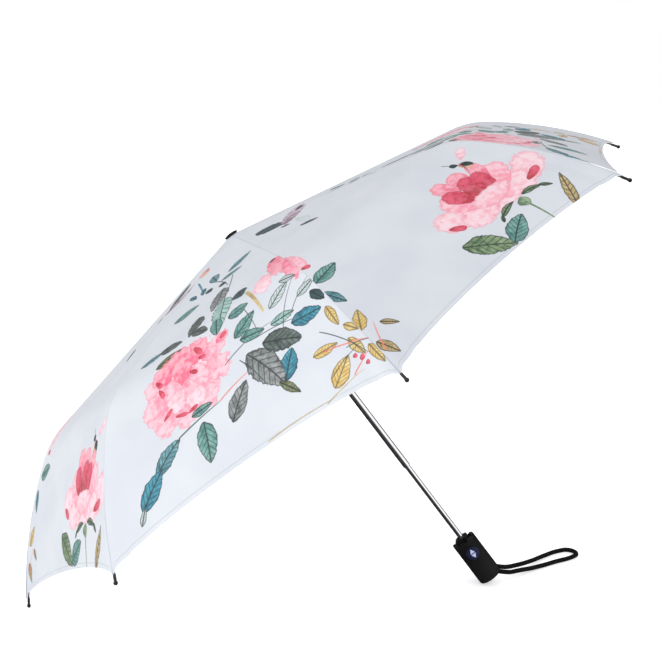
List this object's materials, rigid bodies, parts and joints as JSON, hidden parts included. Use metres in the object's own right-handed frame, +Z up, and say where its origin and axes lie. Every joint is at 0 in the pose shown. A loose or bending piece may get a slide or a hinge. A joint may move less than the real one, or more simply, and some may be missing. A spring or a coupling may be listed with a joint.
{
  "type": "folding umbrella",
  "caption": "Short folding umbrella, open: printed cloth canopy on jointed steel ribs, telescoping chrome shaft, runner, and a black grip with a push button and a wrist strap.",
  "frame": {"origin": "centre of the box round the open umbrella, without its strap, on the surface it lies on", "axes": "+Z up from the surface; the shaft runs down from the crown towards +X to the grip; the canopy is widest along Y"},
  "size_m": [0.708, 0.8956, 0.5864],
  "materials": {
    "chrome": "polished tube",
    "rib_steel": "plated rolled channel",
    "end_rod": "black coated rod",
    "black_plastic": "fine matte moulding",
    "soft_grip": "soft-touch black coating",
    "button_navy": "satin navy blue moulding",
    "steel_wire": "bright drawn wire",
    "cord": "black braided polyester",
    "cloth": "pale printed polyester with a slight sheen"
  },
  "bodies": {
    "grip": {"grip_shell": "soft_grip", "grip_collar": "black_plastic", "grip_core": "black_plastic", "foot_plug": "black_plastic", "strap_pin": "steel_wire", "wrist_strap": "cord", "lower_tube": "chrome", "lower_slider": "black_plastic", "button_spring": "steel_wire"},
    "middle_shaft": {"middle_tube": "chrome", "middle_slider": "black_plastic"},
    "crown": {"upper_tube": "chrome", "crown_notch": "black_plastic", "crown_wire": "steel_wire", "crown_cap": "black_plastic", "canopy": "cloth"},
    "runner": {"runner": "black_plastic", "runner_ring": "chrome"},
    "push_button": {"button": "button_navy"},
    "top_rib_1": {"top_rib_1": "rib_steel"},
    "mid_rib_1": {"mid_rib_1": "rib_steel"},
    "end_rib_1": {"end_rib_1": "end_rod"},
    "stretcher_1": {"stretcher_1": "rib_steel"},
    "link_1": {"link_1": "rib_steel"},
    "top_rib_2": {"top_rib_2": "rib_steel"},
    "mid_rib_2": {"mid_rib_2": "rib_steel"},
    "end_rib_2": {"end_rib_2": "end_rod"},
    "stretcher_2": {"stretcher_2": "rib_steel"},
    "link_2": {"link_2": "rib_steel"},
    "top_rib_3": {"top_rib_3": "rib_steel"},
    "mid_rib_3": {"mid_rib_3": "rib_steel"},
    "end_rib_3": {"end_rib_3": "end_rod"},
    "stretcher_3": {"stretcher_3": "rib_steel"},
    "link_3": {"link_3": "rib_steel"},
    "top_rib_4": {"top_rib_4": "rib_steel"},
    "mid_rib_4": {"mid_rib_4": "rib_steel"},
    "end_rib_4": {"end_rib_4": "end_rod"},
    "stretcher_4": {"stretcher_4": "rib_steel"},
    "link_4": {"link_4": "rib_steel"},
    "top_rib_5": {"top_rib_5": "rib_steel"},
    "mid_rib_5": {"mid_rib_5": "rib_steel"},
    "end_rib_5": {"end_rib_5": "end_rod"},
    "stretcher_5": {"stretcher_5": "rib_steel"},
    "link_5": {"link_5": "rib_steel"},
    "top_rib_6": {"top_rib_6": "rib_steel"},
    "mid_rib_6": {"mid_rib_6": "rib_steel"},
    "end_rib_6": {"end_rib_6": "end_rod"},
    "stretcher_6": {"stretcher_6": "rib_steel"},
    "link_6": {"link_6": "rib_steel"},
    "top_rib_7": {"top_rib_7": "rib_steel"},
    "mid_rib_7": {"mid_rib_7": "rib_steel"},
    "end_rib_7": {"end_rib_7": "end_rod"},
    "stretcher_7": {"stretcher_7": "rib_steel"},
    "link_7": {"link_7": "rib_steel"},
    "top_rib_8": {"top_rib_8": "rib_steel"},
    "mid_rib_8": {"mid_rib_8": "rib_steel"},
    "end_rib_8": {"end_rib_8": "end_rod"},
    "stretcher_8": {"stretcher_8": "rib_steel"},
    "link_8": {"link_8": "rib_steel"}
  },
  "joints": [
    {"name": "lower_slide", "type": "slide", "parent": "grip", "child": "middle_shaft", "axis": [0.6184, 0, -0.7859], "range_m": [0, 0.116]},
    {"name": "upper_slide", "type": "slide", "parent": "middle_shaft", "child": "crown", "axis": [0.6184, 0, -0.7859], "range_m": [0, 0.1695]},
    {"name": "runner_slide", "type": "slide", "parent": "crown", "child": "runner", "axis": [0.6184, 0, -0.7859], "range_m": [0, 0.11893], "deforming": ["canopy"]},
    {"name": "button_press", "type": "slide", "parent": "grip", "child": "push_button", "axis": [-0.2034, 0.9659, -0.1601], "range_m": [0, 0.0022], "stiffness_N_per_m": 400, "springref_m": -0.003, "deforming": ["button_spring"]},
    {"name": "top_hinge_1", "type": "hinge", "parent": "crown", "child": "top_rib_1", "pos_m": [-0.11975, 0.00421, 0.4484], "axis": [-0.3007, 0.9239, -0.2367], "range_deg": [0, 77.11]},
    {"name": "mid_hinge_1", "type": "hinge", "parent": "top_rib_1", "child": "mid_rib_1", "pos_m": [0.01952, 0.06686, 0.51599], "axis": [-0.3007, 0.9239, -0.2367], "range_deg": [-178.51, 0]},
    {"name": "end_hinge_1", "type": "hinge", "parent": "mid_rib_1", "child": "end_rib_1", "pos_m": [0.16027, 0.12926, 0.58076], "axis": [-0.3007, 0.9239, -0.2367], "range_deg": [0, 148.46]},
    {"name": "stretcher_hinge_1", "type": "hinge", "parent": "top_rib_1", "child": "stretcher_1", "pos_m": [-0.04688, 0.03577, 0.47901], "axis": [-0.3007, 0.9239, -0.2367], "range_deg": [-143.54, 0]},
    {"name": "link_hinge_1", "type": "hinge", "parent": "mid_rib_1", "child": "link_1", "pos_m": [0.01333, 0.06265, 0.50745], "axis": [-0.3007, 0.9239, -0.2367], "range_deg": [0, 176.27]},
    {"name": "top_hinge_2", "type": "hinge", "parent": "crown", "child": "top_rib_2", "pos_m": [-0.12443, 0.01016, 0.44472], "axis": [-0.726, 0.3827, -0.5713], "range_deg": [0, 77.11]},
    {"name": "mid_hinge_2", "type": "hinge", "parent": "top_rib_2", "child": "mid_rib_2", "pos_m": [-0.05479, 0.16141, 0.45752], "axis": [-0.726, 0.3827, -0.5713], "range_deg": [-178.51, 0]},
    {"name": "end_hinge_2", "type": "hinge", "parent": "mid_rib_2", "child": "end_rib_2", "pos_m": [0.01661, 0.31207, 0.46771], "axis": [-0.726, 0.3827, -0.5713], "range_deg": [0, 148.46]},
    {"name": "stretcher_hinge_2", "type": "hinge", "parent": "top_rib_2", "child": "stretcher_2", "pos_m": [-0.08663, 0.08636, 0.44772], "axis": [-0.726, 0.3827, -0.5713], "range_deg": [-143.54, 0]},
    {"name": "link_hinge_2", "type": "hinge", "parent": "mid_rib_2", "child": "link_2", "pos_m": [-0.05631, 0.15126, 0.45266], "axis": [-0.726, 0.3827, -0.5713], "range_deg": [0, 176.27]},
    {"name": "top_hinge_3", "type": "hinge", "parent": "crown", "child": "top_rib_3", "pos_m": [-0.13105, 0.01016, 0.43952], "axis": [-0.726, -0.3827, -0.5713], "range_deg": [0, 77.11]},
    {"name": "mid_hinge_3", "type": "hinge", "parent": "top_rib_3", "child": "mid_rib_3", "pos_m": [-0.15987, 0.16141, 0.37484], "axis": [-0.726, -0.3827, -0.5713], "range_deg": [-178.51, 0]},
    {"name": "end_hinge_3", "type": "hinge", "parent": "mid_rib_3", "child": "end_rib_3", "pos_m": [-0.18655, 0.31207, 0.30784], "axis": [-0.726, -0.3827, -0.5713], "range_deg": [0, 148.46]},
    {"name": "stretcher_hinge_3", "type": "hinge", "parent": "top_rib_3", "child": "stretcher_3", "pos_m": [-0.14285, 0.08636, 0.40348], "axis": [-0.726, -0.3827, -0.5713], "range_deg": [-143.54, 0]},
    {"name": "link_hinge_3", "type": "hinge", "parent": "mid_rib_3", "child": "link_3", "pos_m": [-0.15478, 0.15126, 0.37517], "axis": [-0.726, -0.3827, -0.5713], "range_deg": [0, 176.27]},
    {"name": "top_hinge_4", "type": "hinge", "parent": "crown", "child": "top_rib_4", "pos_m": [-0.13572, 0.00421, 0.43584], "axis": [-0.3007, -0.9239, -0.2367], "range_deg": [0, 77.11]},
    {"name": "mid_hinge_4", "type": "hinge", "parent": "top_rib_4", "child": "mid_rib_4", "pos_m": [-0.23417, 0.06686, 0.31637], "axis": [-0.3007, -0.9239, -0.2367], "range_deg": [-178.51, 0]},
    {"name": "end_hinge_4", "type": "hinge", "parent": "mid_rib_4", "child": "end_rib_4", "pos_m": [-0.33021, 0.12926, 0.19479], "axis": [-0.3007, -0.9239, -0.2367], "range_deg": [0, 148.46]},
    {"name": "stretcher_hinge_4", "type": "hinge", "parent": "top_rib_4", "child": "stretcher_4", "pos_m": [-0.18261, 0.03577, 0.3722], "axis": [-0.3007, -0.9239, -0.2367], "range_deg": [-143.54, 0]},
    {"name": "link_hinge_4", "type": "hinge", "parent": "mid_rib_4", "child": "link_4", "pos_m": [-0.22441, 0.06265, 0.32038], "axis": [-0.3007, -0.9239, -0.2367], "range_deg": [0, 176.27]},
    {"name": "top_hinge_5", "type": "hinge", "parent": "crown", "child": "top_rib_5", "pos_m": [-0.13572, -0.00421, 0.43584], "axis": [0.3007, -0.9239, 0.2367], "range_deg": [0, 77.11]},
    {"name": "mid_hinge_5", "type": "hinge", "parent": "top_rib_5", "child": "mid_rib_5", "pos_m": [-0.23417, -0.06686, 0.31637], "axis": [0.3007, -0.9239, 0.2367], "range_deg": [-178.51, 0]},
    {"name": "end_hinge_5", "type": "hinge", "parent": "mid_rib_5", "child": "end_rib_5", "pos_m": [-0.33021, -0.12926, 0.19479], "axis": [0.3007, -0.9239, 0.2367], "range_deg": [0, 148.46]},
    {"name": "stretcher_hinge_5", "type": "hinge", "parent": "top_rib_5", "child": "stretcher_5", "pos_m": [-0.18261, -0.03577, 0.3722], "axis": [0.3007, -0.9239, 0.2367], "range_deg": [-143.54, 0]},
    {"name": "link_hinge_5", "type": "hinge", "parent": "mid_rib_5", "child": "link_5", "pos_m": [-0.22441, -0.06265, 0.32038], "axis": [0.3007, -0.9239, 0.2367], "range_deg": [0, 176.27]},
    {"name": "top_hinge_6", "type": "hinge", "parent": "crown", "child": "top_rib_6", "pos_m": [-0.13105, -0.01016, 0.43952], "axis": [0.726, -0.3827, 0.5713], "range_deg": [0, 77.11]},
    {"name": "mid_hinge_6", "type": "hinge", "parent": "top_rib_6", "child": "mid_rib_6", "pos_m": [-0.15987, -0.16141, 0.37484], "axis": [0.726, -0.3827, 0.5713], "range_deg": [-178.51, 0]},
    {"name": "end_hinge_6", "type": "hinge", "parent": "mid_rib_6", "child": "end_rib_6", "pos_m": [-0.18655, -0.31207, 0.30784], "axis": [0.726, -0.3827, 0.5713], "range_deg": [0, 148.46]},
    {"name": "stretcher_hinge_6", "type": "hinge", "parent": "top_rib_6", "child": "stretcher_6", "pos_m": [-0.14285, -0.08636, 0.40348], "axis": [0.726, -0.3827, 0.5713], "range_deg": [-143.54, 0]},
    {"name": "link_hinge_6", "type": "hinge", "parent": "mid_rib_6", "child": "link_6", "pos_m": [-0.15478, -0.15126, 0.37517], "axis": [0.726, -0.3827, 0.5713], "range_deg": [0, 176.27]},
    {"name": "top_hinge_7", "type": "hinge", "parent": "crown", "child": "top_rib_7", "pos_m": [-0.12443, -0.01016, 0.44472], "axis": [0.726, 0.3827, 0.5713], "range_deg": [0, 77.11]},
    {"name": "mid_hinge_7", "type": "hinge", "parent": "top_rib_7", "child": "mid_rib_7", "pos_m": [-0.05479, -0.16141, 0.45752], "axis": [0.726, 0.3827, 0.5713], "range_deg": [-178.51, 0]},
    {"name": "end_hinge_7", "type": "hinge", "parent": "mid_rib_7", "child": "end_rib_7", "pos_m": [0.01661, -0.31207, 0.46771], "axis": [0.726, 0.3827, 0.5713], "range_deg": [0, 148.46]},
    {"name": "stretcher_hinge_7", "type": "hinge", "parent": "top_rib_7", "child": "stretcher_7", "pos_m": [-0.08663, -0.08636, 0.44772], "axis": [0.726, 0.3827, 0.5713], "range_deg": [-143.54, 0]},
    {"name": "link_hinge_7", "type": "hinge", "parent": "mid_rib_7", "child": "link_7", "pos_m": [-0.05631, -0.15126, 0.45266], "axis": [0.726, 0.3827, 0.5713], "range_deg": [0, 176.27]},
    {"name": "top_hinge_8", "type": "hinge", "parent": "crown", "child": "top_rib_8", "pos_m": [-0.11975, -0.00421, 0.4484], "axis": [0.3007, 0.9239, 0.2367], "range_deg": [0, 77.11]},
    {"name": "mid_hinge_8", "type": "hinge", "parent": "top_rib_8", "child": "mid_rib_8", "pos_m": [0.01952, -0.06686, 0.51599], "axis": [0.3007, 0.9239, 0.2367], "range_deg": [-178.51, 0]},
    {"name": "end_hinge_8", "type": "hinge", "parent": "mid_rib_8", "child": "end_rib_8", "pos_m": [0.16027, -0.12926, 0.58076], "axis": [0.3007, 0.9239, 0.2367], "range_deg": [0, 148.46]},
    {"name": "stretcher_hinge_8", "type": "hinge", "parent": "top_rib_8", "child": "stretcher_8", "pos_m": [-0.04688, -0.03577, 0.47901], "axis": [0.3007, 0.9239, 0.2367], "range_deg": [-143.54, 0]},
    {"name": "link_hinge_8", "type": "hinge", "parent": "mid_rib_8", "child": "link_8", "pos_m": [0.01333, -0.06265, 0.50745], "axis": [0.3007, 0.9239, 0.2367], "range_deg": [0, 176.27]}
  ],
  "couplings": [
    {"joint": "top_hinge_1", "follows": "runner_slide", "rad_per_m": 11.314},
    {"joint": "mid_hinge_1", "follows": "runner_slide", "rad_per_m": -26.194},
    {"joint": "end_hinge_1", "follows": "runner_slide", "rad_per_m": 21.785},
    {"joint": "stretcher_hinge_1", "follows": "runner_slide", "rad_per_m": -21.062},
    {"joint": "link_hinge_1", "follows": "runner_slide", "rad_per_m": 25.865},
    {"joint": "top_hinge_2", "follows": "runner_slide", "rad_per_m": 11.314},
    {"joint": "mid_hinge_2", "follows": "runner_slide", "rad_per_m": -26.194},
    {"joint": "end_hinge_2", "follows": "runner_slide", "rad_per_m": 21.785},
    {"joint": "stretcher_hinge_2", "follows": "runner_slide", "rad_per_m": -21.062},
    {"joint": "link_hinge_2", "follows": "runner_slide", "rad_per_m": 25.865},
    {"joint": "top_hinge_3", "follows": "runner_slide", "rad_per_m": 11.314},
    {"joint": "mid_hinge_3", "follows": "runner_slide", "rad_per_m": -26.194},
    {"joint": "end_hinge_3", "follows": "runner_slide", "rad_per_m": 21.785},
    {"joint": "stretcher_hinge_3", "follows": "runner_slide", "rad_per_m": -21.062},
    {"joint": "link_hinge_3", "follows": "runner_slide", "rad_per_m": 25.865},
    {"joint": "top_hinge_4", "follows": "runner_slide", "rad_per_m": 11.314},
    {"joint": "mid_hinge_4", "follows": "runner_slide", "rad_per_m": -26.194},
    {"joint": "end_hinge_4", "follows": "runner_slide", "rad_per_m": 21.785},
    {"joint": "stretcher_hinge_4", "follows": "runner_slide", "rad_per_m": -21.062},
    {"joint": "link_hinge_4", "follows": "runner_slide", "rad_per_m": 25.865},
    {"joint": "top_hinge_5", "follows": "runner_slide", "rad_per_m": 11.314},
    {"joint": "mid_hinge_5", "follows": "runner_slide", "rad_per_m": -26.194},
    {"joint": "end_hinge_5", "follows": "runner_slide", "rad_per_m": 21.785},
    {"joint": "stretcher_hinge_5", "follows": "runner_slide", "rad_per_m": -21.062},
    {"joint": "link_hinge_5", "follows": "runner_slide", "rad_per_m": 25.865},
    {"joint": "top_hinge_6", "follows": "runner_slide", "rad_per_m": 11.314},
    {"joint": "mid_hinge_6", "follows": "runner_slide", "rad_per_m": -26.194},
    {"joint": "end_hinge_6", "follows": "runner_slide", "rad_per_m": 21.785},
    {"joint": "stretcher_hinge_6", "follows": "runner_slide", "rad_per_m": -21.062},
    {"joint": "link_hinge_6", "follows": "runner_slide", "rad_per_m": 25.865},
    {"joint": "top_hinge_7", "follows": "runner_slide", "rad_per_m": 11.314},
    {"joint": "mid_hinge_7", "follows": "runner_slide", "rad_per_m": -26.194},
    {"joint": "end_hinge_7", "follows": "runner_slide", "rad_per_m": 21.785},
    {"joint": "stretcher_hinge_7", "follows": "runner_slide", "rad_per_m": -21.062},
    {"joint": "link_hinge_7", "follows": "runner_slide", "rad_per_m": 25.865},
    {"joint": "top_hinge_8", "follows": "runner_slide", "rad_per_m": 11.314},
    {"joint": "mid_hinge_8", "follows": "runner_slide", "rad_per_m": -26.194},
    {"joint": "end_hinge_8", "follows": "runner_slide", "rad_per_m": 21.785},
    {"joint": "stretcher_hinge_8", "follows": "runner_slide", "rad_per_m": -21.062},
    {"joint": "link_hinge_8", "follows": "runner_slide", "rad_per_m": 25.865}
  ]
}
